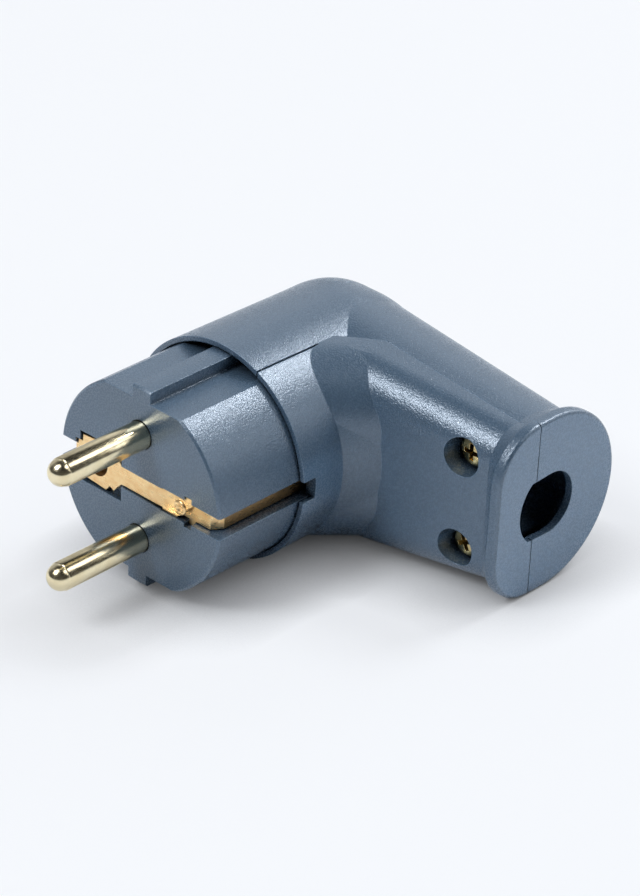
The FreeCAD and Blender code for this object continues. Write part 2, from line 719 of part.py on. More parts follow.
def contact_carrier():
    """Round insulating body with flats, keyed ribs, earth grooves and pin bores."""
    body = rod(CARRIER_RADIUS, 0, BODY_END)
    front = [e for e in body.Edges if e.BoundBox.YMax < FIT]
    body = body.makeChamfer(CARRIER_EDGE, front)
    half_rib = FLAT_RIB_WIDTH / 2
    flats = []
    for x0, x1 in ((-FAR, -half_rib), (half_rib, FAR)):
        flats.append(box(x0, x1, -WALL, BODY_END, FLAT_HEIGHT, FAR))
    flats += [mirrored(flat) for flat in flats]
    body = body.cut(join(flats))
    neck = rod(NECK_RADIUS, BODY_END, NECK_END)
    flange = rod(REAR_FLANGE_RADIUS, NECK_END, CARRIER_END)
    whole = join([body, neck, flange])
    cuts = [strip_groove(LOWER_STRIP_TOP, SLOT_WIDTH), turned(strip_groove(STRIP_TOP, SLOT_WIDTH))]
    low = LOWER_STRIP_TOP + LOOSE
    deep = LOWER_STRIP_TOP + STRIP_THICKNESS + LOOSE
    margin = PLATE_POCKET_MARGIN
    half = PLATE_WIDTH / 2 + TOOTH_RISE + margin
    step = PLATE_STEP_WIDTH / 2 + margin
    step_left = PLATE_LEFT - PLATE_STEP_RUN - margin
    cuts.append(box(PLATE_LEFT - margin, PLATE_RIGHT + margin, -WALL, low, -half, half))
    cuts.append(box(step_left, PLATE_LEFT, -WALL, low, -step, step))
    lap_half = LAP_WIDTH / 2 + LOOSE
    tooth = lap_half + BARB_HEIGHT
    barb_left = LAP_RIGHT - BARB_LENGTH - LOOSE
    cuts.append(box(LAP_LEFT - LOOSE, LAP_RIGHT, -WALL, low, -lap_half, lap_half))
    cuts.append(box(barb_left, LAP_RIGHT + LOOSE, -WALL, deep, -tooth, 0))
    cuts.append(box(barb_left, LAP_RIGHT + LOOSE, -WALL, low, 0, tooth))
    cuts.append(rod(RIVET_HEAD_DIAMETER / 2 + LOOSE, low, deep + RIVET_TAIL, RIVET_X))
    sleeve_end = LOWER_STRIP_TOP + SLEEVE_LENGTH
    cuts.append(rod(EARTH_HOLE_DIAMETER / 2 + SLEEVE_WALL + FIT, 0, sleeve_end, EARTH_HOLE_X))
    for z in (PIN_SPACING / 2, -PIN_SPACING / 2):
        cuts.append(rod(PIN_HOLE_DIAMETER / 2, -WALL, PIN_NECK_LENGTH, 0, z))
        cuts.append(rod(PIN_SHANK_DIAMETER / 2 + FIT, PIN_NECK_LENGTH, CARRIER_END, 0, z))
        cuts.append(rod(PIN_FLANGE_DIAMETER / 2 + FIT, PIN_FLANGE_START, CARRIER_END + WALL, 0, z))
    screw_tip = CARRIER_END + RETAINER_THICKNESS - RETAINER_SCREW_LENGTH
    cuts.append(rod(CLAMP_SCREW_DIAMETER / 2 + FIT, screw_tip, CARRIER_END))
    return whole.cut(join(cuts))


def pin(z):
    """Contact pin with a domed tip, a flange and a terminal head behind the carrier."""
    radius = PIN_DIAMETER / 2
    shoulder = -PIN_LENGTH + PIN_TIP_LENGTH
    knee = radius - PIN_TIP_EDGE
    turn = math.sqrt(0.5)
    dome = V(knee * turn, shoulder - PIN_TIP_LENGTH * turn, 0)
    edges = [arc(V(0, -PIN_LENGTH, 0), dome, V(knee, shoulder, 0))]
    levels = [
        (knee, shoulder),
        (radius, shoulder + PIN_TIP_EDGE),
        (radius, 0),
        (PIN_NECK_DIAMETER / 2, 0),
        (PIN_NECK_DIAMETER / 2, PIN_NECK_LENGTH + FIT),
        (PIN_SHANK_DIAMETER / 2, PIN_NECK_LENGTH + FIT),
        (PIN_SHANK_DIAMETER / 2, PIN_FLANGE_START),
        (PIN_FLANGE_DIAMETER / 2, PIN_FLANGE_START),
        (PIN_FLANGE_DIAMETER / 2, CARRIER_END),
        (TERMINAL_DIAMETER / 2, CARRIER_END),
        (TERMINAL_DIAMETER / 2, TERMINAL_END),
        (0, TERMINAL_END),
        (0, -PIN_LENGTH),
    ]
    for a, b in zip(levels, levels[1:]):
        edges.append(line(V(a[0], a[1], 0), V(b[0], b[1], 0)))
    turned_part = Part.Face(Part.Wire(edges)).revolve(V(0, 0, 0), ALONG_Y, 360)
    turned_part.translate(V(0, 0, z))
    middle = TERMINAL_END - WIRE_HOLE_FROM_END
    reach = TERMINAL_DIAMETER
    wire = Part.makeCylinder(WIRE_HOLE_DIAMETER / 2, 2 * reach, V(-reach, middle, z), ALONG_X)
    thread = rod(TERMINAL_SCREW_DIAMETER / 2 + FIT, middle, TERMINAL_END, 0, z)
    return turned_part.cut(join([wire, thread]))


def pin_retainer():
    """Bar that holds both pins down in the carrier."""
    half_x = RETAINER_WIDTH / 2
    half_z = RETAINER_SPAN / 2
    bar = box(-half_x, half_x, CARRIER_END, CARRIER_END + RETAINER_THICKNESS, -half_z, half_z)
    corners = [e for e in bar.Edges if e.BoundBox.YLength > RETAINER_THICKNESS - FIT]
    bar = bar.makeFillet(RETAINER_CORNER_RADIUS, corners)
    end = CARRIER_END + RETAINER_THICKNESS
    holes = [rod(CLAMP_SCREW_DIAMETER / 2 + LOOSE, CARRIER_END, end)]
    for z in (PIN_SPACING / 2, -PIN_SPACING / 2):
        holes.append(rod(TERMINAL_DIAMETER / 2 + LOOSE, CARRIER_END, end, 0, z))
    return bar.cut(join(holes))


# Fasteners

def slotted_screw(seat, shank, length, head, height, x, z, away):
    """Cheese-head screw along Y, with its head on the given side of its seat."""
    ends = sorted((seat, seat - away * length))
    tops = sorted((seat, seat + away * height))
    body = join([rod(shank / 2, ends[0], ends[1], x, z), rod(head / 2, tops[0], tops[1], x, z)])
    crown = seat + away * height
    cut = sorted((crown, crown - away * SCREW_SLOT_DEPTH))
    half = SCREW_SLOT_WIDTH / 2
    return body.cut(box(x - head, x + head, cut[0], cut[1], z - half, z + half))


def terminal_screw(seat, x, z):
    """Screw that clamps a wire in a terminal, from behind."""
    return slotted_screw(
        seat, TERMINAL_SCREW_DIAMETER, TERMINAL_SCREW_LENGTH,
        TERMINAL_SCREW_HEAD, TERMINAL_SCREW_HEAD_HEIGHT, x, z, 1,
    )


def housing_screw(z):
    """Cross-recessed pan-head screw that draws the two halves together."""
    seat = PARTING_Y - SCREW_SEAT_ABOVE_PARTING
    crown = seat - SCREW_HEAD_HEIGHT
    radius = SCREW_HEAD_DIAMETER / 2
    edge = SCREW_HEAD_HEIGHT / 2
    head = rod(radius, seat - edge, seat, SCREW_X, z)
    dome = tapered_rod(SCREW_TOP_DIAMETER / 2, radius, crown, seat - edge, SCREW_X, z)
    shank = rod(SCREW_DIAMETER / 2, seat, seat + SCREW_LENGTH, SCREW_X, z)
    half = SCREW_SLOT_WIDTH / 2
    reach = SCREW_RECESS_SPAN / 2
    deep = crown + SCREW_RECESS_DEPTH
    upright = box(SCREW_X - half, SCREW_X + half, crown, deep, z - reach, z + reach)
    across = box(SCREW_X - reach, SCREW_X + reach, crown, deep, z - half, z + half)
    return join([head, dome, shank]).cut(join([upright, across]))


def housing_insert(z):
    """Brass insert in the back half that takes a housing screw."""
    end = PARTING_Y + INSERT_LENGTH
    outer = rod(INSERT_DIAMETER / 2, PARTING_Y, end, SCREW_X, z)
    return outer.cut(rod(SCREW_DIAMETER / 2 + FIT, PARTING_Y, end, SCREW_X, z))


def cord_clamp():
    """Saddle that presses the cord on the anvil ribs."""
    seat = CORD_AXIS_Y - CORD_DIAMETER / 2
    half_x = CLAMP_WIDTH / 2
    half_z = CLAMP_SPAN / 2
    bar = box(CLAMP_X - half_x, CLAMP_X + half_x, seat - CLAMP_THICKNESS, seat, -half_z, half_z)
    ends = [e for e in bar.Edges if e.BoundBox.YLength > CLAMP_THICKNESS - FIT]
    bar = bar.makeFillet(CLAMP_CORNER_RADIUS, ends)
    radius = CORD_DIAMETER / 2 + CORD_CLEARANCE
    holes = [Part.makeCylinder(radius, CLAMP_WIDTH, V(CLAMP_X - half_x, CORD_AXIS_Y, 0), ALONG_X)]
    for z in (CLAMP_SCREW_Z, -CLAMP_SCREW_Z):
        holes.append(rod(CLAMP_SCREW_DIAMETER / 2 + LOOSE, seat - CLAMP_THICKNESS, seat, CLAMP_X, z))
    return bar.cut(join(holes))


def clamp_screw(z):
    """Screw of the cord clamp."""
    seat = CORD_AXIS_Y - CORD_DIAMETER / 2 - CLAMP_THICKNESS
    return slotted_screw(
        seat, CLAMP_SCREW_DIAMETER, CLAMP_SCREW_LENGTH,
        CLAMP_SCREW_HEAD, CLAMP_SCREW_HEAD_HEIGHT, CLAMP_X, z, -1,
    )


def retainer_screw():
    """Screw of the pin retainer."""
    return slotted_screw(
        CARRIER_END + RETAINER_THICKNESS, CLAMP_SCREW_DIAMETER, RETAINER_SCREW_LENGTH,
        CLAMP_SCREW_HEAD, CLAMP_SCREW_HEAD_HEIGHT, 0, 0, 1,
    )


def main():
    os.makedirs("parts", exist_ok=True)
    export("inner_half_shell", inner_half_shell())
    export("outer_half_shell", outer_half_shell())
    export("contact_carrier", contact_carrier())
    export("pin_retainer", pin_retainer())
    export("pin_retainer_screw", retainer_screw())
    export("earth_strip_left", earth_strip_left())
    export("earth_strip_right", earth_strip_right())
    export("earth_rivet", earth_rivet())
    export("earth_socket_sleeve", earth_socket_sleeve())
    export("earth_terminal", earth_terminal())
    block_end = CARRIER_END + EARTH_BLOCK_LENGTH
    export("earth_terminal_screw", terminal_screw(block_end, earth_block_centre(), 0))
    export("cord_clamp", cord_clamp())
    for name, z in (("live", PIN_SPACING / 2), ("neutral", -PIN_SPACING / 2)):
        export(name + "_pin", pin(z))
        export(name + "_terminal_screw", terminal_screw(TERMINAL_END, 0, z))
    for name, sign in (("upper", 1), ("lower", -1)):
        export("housing_screw_" + name, housing_screw(sign * SCREW_Z))
        export("housing_insert_" + name, housing_insert(sign * SCREW_Z))
        export("cord_clamp_screw_" + name, clamp_screw(sign * CLAMP_SCREW_Z))


main()
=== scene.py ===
import logging
import math
from dataclasses import dataclass
from enum import Enum
from typing import Optional, Sequence, Union

import bpy
from mathutils import Matrix, Vector


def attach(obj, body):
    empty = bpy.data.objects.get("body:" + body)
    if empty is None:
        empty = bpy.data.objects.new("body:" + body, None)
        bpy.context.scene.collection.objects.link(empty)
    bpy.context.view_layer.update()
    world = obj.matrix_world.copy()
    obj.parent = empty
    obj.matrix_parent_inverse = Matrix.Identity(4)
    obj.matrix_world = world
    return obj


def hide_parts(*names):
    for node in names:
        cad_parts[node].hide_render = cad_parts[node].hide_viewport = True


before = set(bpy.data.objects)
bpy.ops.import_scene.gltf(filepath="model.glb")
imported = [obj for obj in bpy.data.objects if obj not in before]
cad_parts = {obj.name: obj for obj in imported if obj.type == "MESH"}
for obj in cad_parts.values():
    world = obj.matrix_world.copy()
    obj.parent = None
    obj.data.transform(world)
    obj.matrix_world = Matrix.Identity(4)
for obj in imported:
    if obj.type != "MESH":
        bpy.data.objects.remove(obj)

LOG = logging.getLogger("angled_plug")
MM = 0.001
Colour = tuple[float, float, float]
Direction = tuple[float, float, float]
Point = tuple[float, float, float]
Span = tuple[float, float]
Station = tuple[float, float]
Shade = Union[Colour, bpy.types.Node]

NOISE_MIDDLE: Span = (0.3, 0.7)
NOISE_ROUGHNESS = 0.6
EDGE_COSINES: Span = (0.80, 0.985)
OPEN_SKY: Span = (0.15, 0.75)
NODE_SAMPLES = 4
SPECK_CORE = 0.6
ALONG_COSINE = 0.9


class Slot(Enum):
    """Names of finish slots, one for each kind of brass."""

    PIN = "pin_brass"
    EARTH = "earth_brass"
    SCREW = "screw_brass"


class Grain(Enum):
    """Way that the marks on a metal run, as the scale of the pattern along each axis."""

    TURNED = (1.0, 0.25, 1.0)
    ROLLED = (0.08, 0.3, 1.0)
    CAST = (1.0, 1.0, 1.0)


class ShaderGraph:
    """Node tree of one material, with a principled surface at its end."""

    def __init__(self, name: str) -> None:
        """Start a tree with nothing but its surface.

        Args:
            name: name of the material.
        """
        self.material = bpy.data.materials.new(name)
        self.material.use_nodes = True
        self.tree = self.material.node_tree
        self.tree.nodes.clear()
        self.surface = self.add("ShaderNodeBsdfPrincipled")
        self.output = self.add("ShaderNodeOutputMaterial")
        self.link(self.surface, "BSDF", self.output, "Surface")
        self.coordinates = self.add("ShaderNodeTexCoord")

    def add(self, kind: str, **values: object) -> bpy.types.Node:
        """Add one node.

        Args:
            kind: Blender's name of the node type.
            values: properties of the node, set by name.

        Returns:
            The new node.
        """
        node = self.tree.nodes.new(kind)
        for key, value in values.items():
            setattr(node, key, value)
        return node

    def link(self, source: bpy.types.Node, out: str, target: bpy.types.Node, into: str) -> None:
        """Join an output to an input, both by name."""
        self.tree.links.new(source.outputs[out], target.inputs[into])

    def set(self, **values: Union[float, Sequence[float]]) -> None:
        """Set plain values on the surface, with _ for a space in a socket's name."""
        for key, value in values.items():
            self.surface.inputs[key.replace("_", " ")].default_value = value

    def noise(
        self, size_mm: float, detail: float = 2.0, stretch: Sequence[float] = (1, 1, 1)
    ) -> bpy.types.Node:
        """Add a noise pattern in object space.

        Args:
            size_mm: size of its features.
            detail: octaves of finer noise on top.
            stretch: scale of the space along each axis.

        Returns:
            The noise node.
        """
        mapping = self.add("ShaderNodeMapping")
        mapping.inputs["Scale"].default_value = stretch
        self.link(self.coordinates, "Object", mapping, "Vector")
        node = self.add("ShaderNodeTexNoise")
        node.inputs["Scale"].default_value = 1.0 / (size_mm * MM)
        node.inputs["Detail"].default_value = detail
        node.inputs["Roughness"].default_value = NOISE_ROUGHNESS
        self.link(mapping, "Vector", node, "Vector")
        return node

    def specks(self, spacing_mm: float, size_mm: float) -> bpy.types.Node:
        """Add scattered round specks in object space.

        Args:
            spacing_mm: mean distance between specks.
            size_mm: radius of a speck.

        Returns:
            A node whose Result is 1 in a speck.
        """
        cells = self.add("ShaderNodeTexVoronoi")
        cells.inputs["Scale"].default_value = 1.0 / (spacing_mm * MM)
        self.link(self.coordinates, "Object", cells, "Vector")
        edge = size_mm / spacing_mm
        return self.remap(cells, "Distance", (edge * SPECK_CORE, edge), (1.0, 0.0))

    def remap(self, source: bpy.types.Node, out: str, old: Span, new: Span) -> bpy.types.Node:
        """Add a linear change of range, held at its ends.

        Args:
            source: node whose value is read.
            out: name of its output.
            old: range of that value.
            new: values that the ends of the range become.

        Returns:
            The range node, whose output is named Result.
        """
        node = self.add("ShaderNodeMapRange")
        for key, value in zip(("From Min", "From Max", "To Min", "To Max"), (*old, *new)):
            node.inputs[key].default_value = value
        self.link(source, out, node, "Value")
        return node

    def blend(self, factor: bpy.types.Node, low: Shade, high: Shade) -> bpy.types.Node:
        """Add a blend of two colours.

        Args:
            factor: node whose first output picks between them.
            low: colour at 0, or the blend that gives it.
            high: colour at 1, or the blend that gives it.

        Returns:
            The mix node.
        """
        node = self.add("ShaderNodeMix", data_type="RGBA")
        sockets = [socket for socket in node.inputs if socket.type == "RGBA"]
        for socket, shade in zip(sockets, (low, high)):
            if isinstance(shade, bpy.types.Node):
                self.tree.links.new(self.colour_of(shade), socket)
            else:
                socket.default_value = (*shade, 1)
        self.tree.links.new(factor.outputs[0], node.inputs[0])
        return node

    def colour_of(self, blend: bpy.types.Node) -> bpy.types.NodeSocket:
        """Find the colour output of a mix node."""
        return [socket for socket in blend.outputs if socket.type == "RGBA"][0]

    def paint(self, blend: bpy.types.Node) -> None:
        """Use a blend as the surface's colour."""
        self.tree.links.new(self.colour_of(blend), self.surface.inputs["Base Color"])

    def rounding(self, radius_mm: float) -> bpy.types.Node:
        """Add normals that are rounded at edges.

        Args:
            radius_mm: radius of the rounding.

        Returns:
            The bevel node.
        """
        node = self.add("ShaderNodeBevel", samples=NODE_SAMPLES)
        node.inputs["Radius"].default_value = radius_mm * MM
        return node

    def edges(self, rounding: bpy.types.Node) -> bpy.types.Node:
        """Find the places where rounded normals leave the surface.

        Args:
            rounding: bevel node to compare with the plain normals.

        Returns:
            A node whose Result is 1 on an edge.
        """
        geometry = self.add("ShaderNodeNewGeometry")
        dot = self.add("ShaderNodeVectorMath", operation="DOT_PRODUCT")
        self.link(geometry, "Normal", dot, 0)
        self.link(rounding, "Normal", dot, 1)
        return self.remap(dot, "Value", EDGE_COSINES, (1.0, 0.0))

    def crevices(self, reach_mm: float) -> bpy.types.Node:
        """Find the places that other faces close in.

        Args:
            reach_mm: distance within which a face counts.

        Returns:
            A node whose Result is 1 deep in a gap.
        """
        node = self.add("ShaderNodeAmbientOcclusion", samples=NODE_SAMPLES)
        node.inputs["Distance"].default_value = reach_mm * MM
        return self.remap(node, "AO", OPEN_SKY, (1.0, 0.0))

    def facing(self, direction: Direction, cosines: Span) -> bpy.types.Node:
        """Find the faces that look in a direction of the object.

        Args:
            direction: unit vector in object space.
            cosines: cosine where the answer is still 0, and where it is 1.

        Returns:
            A node whose Result is 1 on those faces.
        """
        dot = self.add("ShaderNodeVectorMath", operation="DOT_PRODUCT")
        self.link(self.coordinates, "Normal", dot, 0)
        dot.inputs[1].default_value = direction
        return self.remap(dot, "Value", cosines, (0.0, 1.0))

    def relief(
        self, height: bpy.types.Node, depth_mm: float, rounding: bpy.types.Node,
        strength: Optional[bpy.types.Node] = None,
    ) -> None:
        """Raise the surface by a pattern, over softly rounded edges.

        Args:
            height: node that gives the pattern.
            depth_mm: depth of the relief.
            rounding: bevel node under the relief.
            strength: node that gives the share of the relief, all of it if none.
        """
        bump = self.add("ShaderNodeBump")
        bump.inputs["Strength"].default_value = 1.0
        bump.inputs["Distance"].default_value = depth_mm * MM
        self.tree.links.new(height.outputs[0], bump.inputs["Height"])
        if strength is not None:
            self.tree.links.new(strength.outputs[0], bump.inputs["Strength"])
        self.link(rounding, "Normal", bump, "Normal")
        self.link(bump, "Normal", self.surface, "Normal")


@dataclass(frozen=True)
class MouldedPlastic:
    """Moulded plastic with the grain of a spark-eroded mould, smoother on one face, whose colour
    is scaled there as painted light and shade, with a painted highlight along edges and painted
    shade in recesses.
    """

    name: str
    colour: Colour
    mottle: float = 0.06
    cloud_mm: float = 3.5
    cloud_detail: float = 3.0
    roughness: float = 0.27
    sheen_spread: float = 0.06
    grain_mm: float = 0.30
    grain_depth_mm: float = 0.08
    smooth_and_painted_face: Direction = (1.0, 0.0, 0.0)
    smooth_and_painted_cosines: Span = (0.95, 0.99)
    smooth_share: float = 0.30
    painted_face_lighting: float = 1.0
    edge_mm: float = 0.22
    edge_highlight_share: float = 2.3
    dust: float = 2.2
    speck_mm: float = 0.07
    speck_spacing_mm: float = 3.4
    crevice_mm: float = 3.2
    painted_crevice_shade: float = 0.12
    refraction: float = 1.6
    gloss: float = 1.0
    gloss_tint: Colour = (0.78, 0.88, 1.0)

    def material(self) -> bpy.types.Material:
        """Build the material.

        Returns:
            The finished material.
        """
        graph = ShaderGraph(self.name)
        rounding = graph.rounding(self.edge_mm)
        cloud = graph.noise(self.cloud_mm, self.cloud_detail)
        body = graph.blend(cloud, self.toned(1 - self.mottle), self.toned(1 + self.mottle))
        face = graph.facing(self.smooth_and_painted_face, self.smooth_and_painted_cosines)
        # painted light and shade: this face's colour is scaled lighter on the housing and darker
        # on the core to stand for how light falls on it
        painted_face = graph.blend(face, body, self.toned(self.painted_face_lighting))
        # painted highlight: the colour is lightened along the edges
        highlit_edges = graph.blend(graph.edges(rounding), painted_face, self.toned(self.edge_highlight_share))
        specks = graph.specks(self.speck_spacing_mm, self.speck_mm)
        dusty = graph.blend(specks, highlit_edges, self.toned(self.dust))
        # painted shade: the colour darkens in recesses and slots that other faces close in
        gap_shade = graph.crevices(self.crevice_mm)
        graph.paint(graph.blend(gap_shade, dusty, self.toned(self.painted_crevice_shade)))
        grain = graph.noise(self.grain_mm)
        span = (self.roughness - self.sheen_spread, self.roughness + self.sheen_spread)
        sheen = graph.remap(grain, "Fac", NOISE_MIDDLE, span)
        graph.link(sheen, "Result", graph.surface, "Roughness")
        share = graph.remap(face, "Result", (0.0, 1.0), (1.0, self.smooth_share))
        graph.relief(grain, self.grain_depth_mm, rounding, share)
        graph.set(IOR=self.refraction, Specular_IOR_Level=self.gloss)
        graph.set(Specular_Tint=(*self.gloss_tint, 1))
        return graph.material

    def toned(self, share: float) -> Colour:
        """Give the colour, lighter or darker by a share."""
        return tuple(value * share for value in self.colour)


@dataclass(frozen=True)
class BrightMetal:
    """Metal with fine marks from turning or rolling and a little tarnish, with a painted
    highlight along edges, painted shade in recesses and one side darkened as painted shade where
    its share is below one.
    """

    name: str
    colour: Colour
    tarnish: Colour
    roughness: float = 0.12
    mark_mm: float = 0.20
    mark_depth_mm: float = 0.004
    grain: Grain = Grain.TURNED
    shine_spread: Span = (0.75, 1.35)
    edge_mm: float = 0.10
    edge_highlight_share: float = 1.12
    stain_mm: float = 2.4
    stain_detail: float = 3.0
    stain_range: Span = (0.35, 0.75)
    crevice_mm: float = 0.9
    painted_crevice_shade: float = 0.25
    shaded_side: Direction = (1.0, 0.0, 0.0)
    shaded_side_cosines: Span = (0.9, 0.97)
    painted_side_shade: float = 1.0

    def material(self) -> bpy.types.Material:
        """Build the material.

        Returns:
            The finished material.
        """
        graph = ShaderGraph(self.name)
        rounding = graph.rounding(self.edge_mm)
        cloud = graph.noise(self.stain_mm, self.stain_detail)
        stain = graph.remap(cloud, "Fac", self.stain_range, (0.0, 1.0))
        body = graph.blend(stain, self.colour, self.tarnish)
        # painted shade: one side is darkened towards the tarnish's colour to stand for the shade
        # and dark reflections on it
        if self.painted_side_shade < 1.0:
            face = graph.facing(self.shaded_side, self.shaded_side_cosines)
            body = graph.blend(face, body, self.shaded_tarnish(self.painted_side_shade))
        # painted highlight: the colour is lightened along the edges
        bright = tuple(min(1.0, value * self.edge_highlight_share) for value in self.colour)
        highlit_edges = graph.blend(graph.edges(rounding), body, bright)
        # painted shade: the colour darkens in recesses and slots that other faces close in
        gap_shade = graph.crevices(self.crevice_mm)
        graph.paint(graph.blend(gap_shade, highlit_edges, self.shaded_tarnish(self.painted_crevice_shade)))
        marks = graph.noise(self.mark_mm, stretch=self.grain.value)
        span = tuple(self.roughness * share for share in self.shine_spread)
        shine = graph.remap(marks, "Fac", NOISE_MIDDLE, span)
        graph.link(shine, "Result", graph.surface, "Roughness")
        graph.relief(marks, self.mark_depth_mm, rounding)
        graph.set(Metallic=1.0)
        return graph.material

    def shaded_tarnish(self, share: float) -> Colour:
        """Give the tarnish's colour, darker by a share, for painted shade."""
        return tuple(value * share for value in self.tarnish)


# painted light on the housing's +X faces and painted shade on the core's front face
HOUSING_GREY = MouldedPlastic("housing_grey", (0.061, 0.102, 0.156), painted_face_lighting=1.65)
CORE_GREY = MouldedPlastic(
    "core_grey", (0.062, 0.103, 0.156), smooth_and_painted_face=(0.0, -1.0, 0.0), painted_face_lighting=0.85,
)
IVORY = MouldedPlastic(
    "inner_ivory", (0.62, 0.60, 0.53), grain_depth_mm=0.01, edge_highlight_share=1.1, dust=1.0,
    refraction=1.5, gloss=0.5, gloss_tint=(1.0, 1.0, 1.0),
)
PIN_BRASS = BrightMetal("pin_brass", (0.88, 0.78, 0.54), (0.80, 0.68, 0.43), roughness=0.20)
# painted shade on the strip's +X side
STRIP_BRASS = BrightMetal(
    "strip_brass", (0.96, 0.70, 0.37), (0.86, 0.54, 0.24), roughness=0.30,
    grain=Grain.ROLLED, mark_mm=0.3, mark_depth_mm=0.012, stain_mm=1.1, painted_side_shade=0.35,
)
SCREW_BRASS = BrightMetal("screw_brass", (0.84, 0.68, 0.34), (0.70, 0.52, 0.22), roughness=0.16)
TERMINAL_BRASS = BrightMetal(
    "terminal_brass", (0.78, 0.64, 0.36), (0.66, 0.50, 0.26), roughness=0.25,
)
ZINC = BrightMetal(
    "zinc_plate", (0.62, 0.63, 0.64), (0.52, 0.53, 0.53), roughness=0.3, grain=Grain.CAST,
)


def dress(node: str, material: bpy.types.Material) -> None:
    """Give a CAD node its finish.

    Args:
        node: name of the node.
        material: finish that replaces its packed one.
    """
    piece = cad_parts[node]
    piece.data.materials.clear()
    piece.data.materials.append(material)
    LOG.info("dressed %s with %s", node, material.name)


def install(piece: bpy.types.Object, node: str, material: bpy.types.Material) -> None:
    """Put a modelled piece in the place of a CAD node.

    Args:
        piece: finished piece.
        node: name of the node that it stands for.
        material: its finish.
    """
    piece.data.materials.clear()
    piece.data.materials.append(material)
    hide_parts(node)
    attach(piece, "root")
    LOG.info("modelled %s: %d faces", piece.name, len(piece.data.polygons))


def only(piece: bpy.types.Object) -> None:
    """Select one object and nothing else.

    Args:
        piece: object that becomes the active one.
    """
    bpy.ops.object.select_all(action="DESELECT")
    piece.select_set(True)
    bpy.context.view_layer.objects.active = piece


def twin(
    piece: bpy.types.Object, name: str, drop_mm: float, turn_deg: float, axis: Point
) -> bpy.types.Object:
    """Copy a round piece to its place below the middle plane.

    Args:
        piece: piece above the plane.
        name: name of the copy.
        drop_mm: distance that the copy lies lower.
        turn_deg: turn of the copy about its own axis along Y.
        axis: point of the copy's axis, in metres.

    Returns:
        The copy, with a mesh of its own.
    """
    only(piece)
    bpy.ops.object.duplicate(linked=False)
    copy = bpy.context.object
    copy.name = copy.data.name = name
    bpy.ops.object.mode_set(mode="EDIT")
    bpy.ops.mesh.select_all(action="SELECT")
    bpy.ops.transform.translate(value=(0, 0, -drop_mm * MM))
    bpy.ops.transform.rotate(value=math.radians(turn_deg), orient_axis="Y", center_override=axis)
    bpy.ops.object.mode_set(mode="OBJECT")
    return copy


def carve(piece: bpy.types.Object, cutter: bpy.types.Object) -> None:
    """Cut one object out of another and discard it.

    Args:
        piece: object that is cut.
        cutter: object whose volume goes.
    """
    only(piece)
    cut = piece.modifiers.new("cut", "BOOLEAN")
    cut.operation = "DIFFERENCE"
    cut.solver = "EXACT"
    cut.object = cutter
    bpy.ops.object.modifier_apply(modifier=cut.name)
    bpy.data.objects.remove(cutter, do_unlink=True)


@dataclass
class Lathe:
    """Lathe whose axis runs along Y through a place of the plug."""

    x_mm: float
    z_mm: float
    sides: int = 64
    crease_deg: float = 32.0
    drill_sides: int = 40

    def turn(self, name: str, stations: Sequence[Station]) -> bpy.types.Object:
        """Draw a disc out from station to station.

        Args:
            name: name of the piece.
            stations: level along Y and radius at each step, in millimetres.

        Returns:
            The closed piece.
        """
        bpy.ops.object.select_all(action="DESELECT")
        level, radius = stations[0]
        bpy.ops.mesh.primitive_circle_add(
            vertices=self.sides, radius=radius * MM, fill_type="NGON",
            location=self.at(level), rotation=(math.pi / 2, 0, 0),
        )
        piece = bpy.context.object
        piece.name = piece.data.name = name
        bpy.ops.object.transform_apply(location=True, rotation=True, scale=True)
        bpy.ops.object.mode_set(mode="EDIT")
        bpy.ops.mesh.select_all(action="SELECT")
        for (y0, r0), (y1, r1) in zip(stations, stations[1:]):
            step = {"value": (0, (y1 - y0) * MM, 0)}
            bpy.ops.mesh.extrude_region_move(TRANSFORM_OT_translate=step)
            bpy.ops.transform.resize(value=(r1 / r0, 1, r1 / r0), center_override=self.at(y1))
        bpy.ops.mesh.select_all(action="SELECT")
        bpy.ops.mesh.normals_make_consistent(inside=False)
        bpy.ops.object.mode_set(mode="OBJECT")
        self.smooth(piece)
        return piece

    def at(self, level: float) -> Point:
        """Give the point of the axis at a level, in metres."""
        return self.x_mm * MM, level * MM, self.z_mm * MM

    def smooth(self, piece: bpy.types.Object) -> None:
        """Shade a piece smooth, apart from its sharp edges."""
        only(piece)
        bpy.ops.object.shade_smooth_by_angle(angle=math.radians(self.crease_deg))

    def drill(self, piece: bpy.types.Object, radius: float, start: float, end: float) -> None:
        """Bore a hole along the axis.

        Args:
            piece: piece that is bored.
            radius: radius of the hole in millimetres.
            start: level where it starts.
            end: level where it ends.
        """
        self.bore(piece, radius, (start + end) / 2, end - start, (math.pi / 2, 0, 0))

    def cross_drill(
        self, piece: bpy.types.Object, radius: float, level: float, reach: float
    ) -> None:
        """Bore a hole across the axis, along X.

        Args:
            piece: piece that is bored.
            radius: radius of the hole in millimetres.
            level: level of its middle.
            reach: length of the drill in millimetres.
        """
        self.bore(piece, radius, level, reach, (0, math.pi / 2, 0))

    def bore(
        self, piece: bpy.types.Object, radius: float, level: float, reach: float, turn: Direction
    ) -> None:
        """Cut a cylinder out of a piece.

        Args:
            piece: piece that is cut.
            radius: radius of the cylinder in millimetres.
            level: level of its middle.
            reach: its length in millimetres.
            turn: its rotation from the upright, in radians.
        """
        bpy.ops.object.select_all(action="DESELECT")
        bpy.ops.mesh.primitive_cylinder_add(
            vertices=self.drill_sides, radius=radius * MM, depth=reach * MM,
            location=self.at(level), rotation=turn,
        )
        carve(piece, bpy.context.object)


@dataclass
class Housing:
    """The two halves of the moulded elbow."""

    halves: Sequence[str] = ("inner_half_shell", "outer_half_shell")

    def build(self) -> None:
        """Dress both halves."""
        grey = HOUSING_GREY.material()
        for half in self.halves:
            dress(half, grey)


